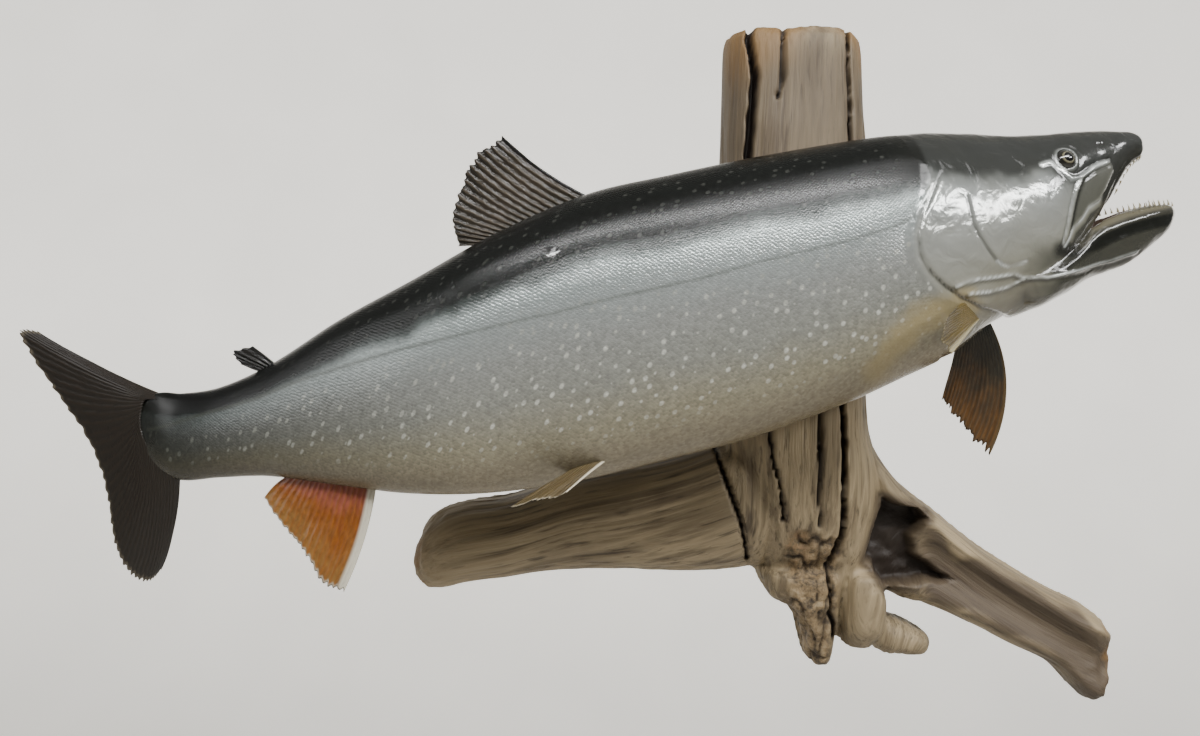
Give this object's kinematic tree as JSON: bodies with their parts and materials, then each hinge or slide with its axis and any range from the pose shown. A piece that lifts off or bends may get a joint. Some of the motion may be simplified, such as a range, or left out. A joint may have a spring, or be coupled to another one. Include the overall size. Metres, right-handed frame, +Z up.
{
  "type": "mounted lake trout",
  "caption": "Life-size lake trout, mouth open and body gently arched, fixed to a piece of driftwood that hangs flat on a wall.",
  "frame": {"origin": "on the wall plane, on the flat back of the driftwood trunk, near the fish's middle height", "axes": "+Z up, +Y into the wall, +X along the fish from the tail to the snout; the whole mount is at negative Y"},
  "size_m": [0.7702, 0.2053, 0.46],
  "materials": {
    "head_skin": "glossy varnished skin, dark above, silver-grey cheeks",
    "body_skin": "glossy small scales, charcoal back, silver flank with cream spots, cream-grey belly",
    "fin_dark": "semi-gloss dried fin rays, brown-black",
    "fin_orange": "glossy dried fin rays, orange with a white leading edge",
    "fin_cream": "semi-gloss dried fin rays, cream",
    "fin_olive": "semi-gloss dried fin rays, olive with a cream leading edge",
    "eye": "glassy, dark pupil in a bronze-grey iris",
    "mouth": "satin grey-pink tongue",
    "driftwood": "bare weathered wood, grey-brown with dark checks",
    "rotten_wood": "crumbly orange-brown rot"
  },
  "bodies": {
    "root": {"head": "head_skin", "lower_jaw": "head_skin", "shoulder": "body_skin", "belly": "body_skin", "tail_stalk": "body_skin", "tongue": "mouth", "gill_cover_right": "head_skin", "gill_cover_left": "head_skin", "maxilla_right": "head_skin", "maxilla_left": "head_skin", "eye_right": "eye", "eye_left": "eye", "dorsal_fin": "fin_dark", "adipose_fin": "fin_dark", "tail_fin": "fin_dark", "anal_fin": "fin_orange", "pelvic_fin_right": "fin_cream", "pelvic_fin_left": "fin_cream", "pectoral_fin_right": "fin_olive", "pectoral_fin_left": "fin_dark", "wood_trunk": "driftwood", "wood_right_root": "driftwood", "wood_heel": "driftwood", "wood_rotten_tip": "rotten_wood", "wood_left_limb": "driftwood", "wood_side_stub": "driftwood"}
  },
  "joints": []
}
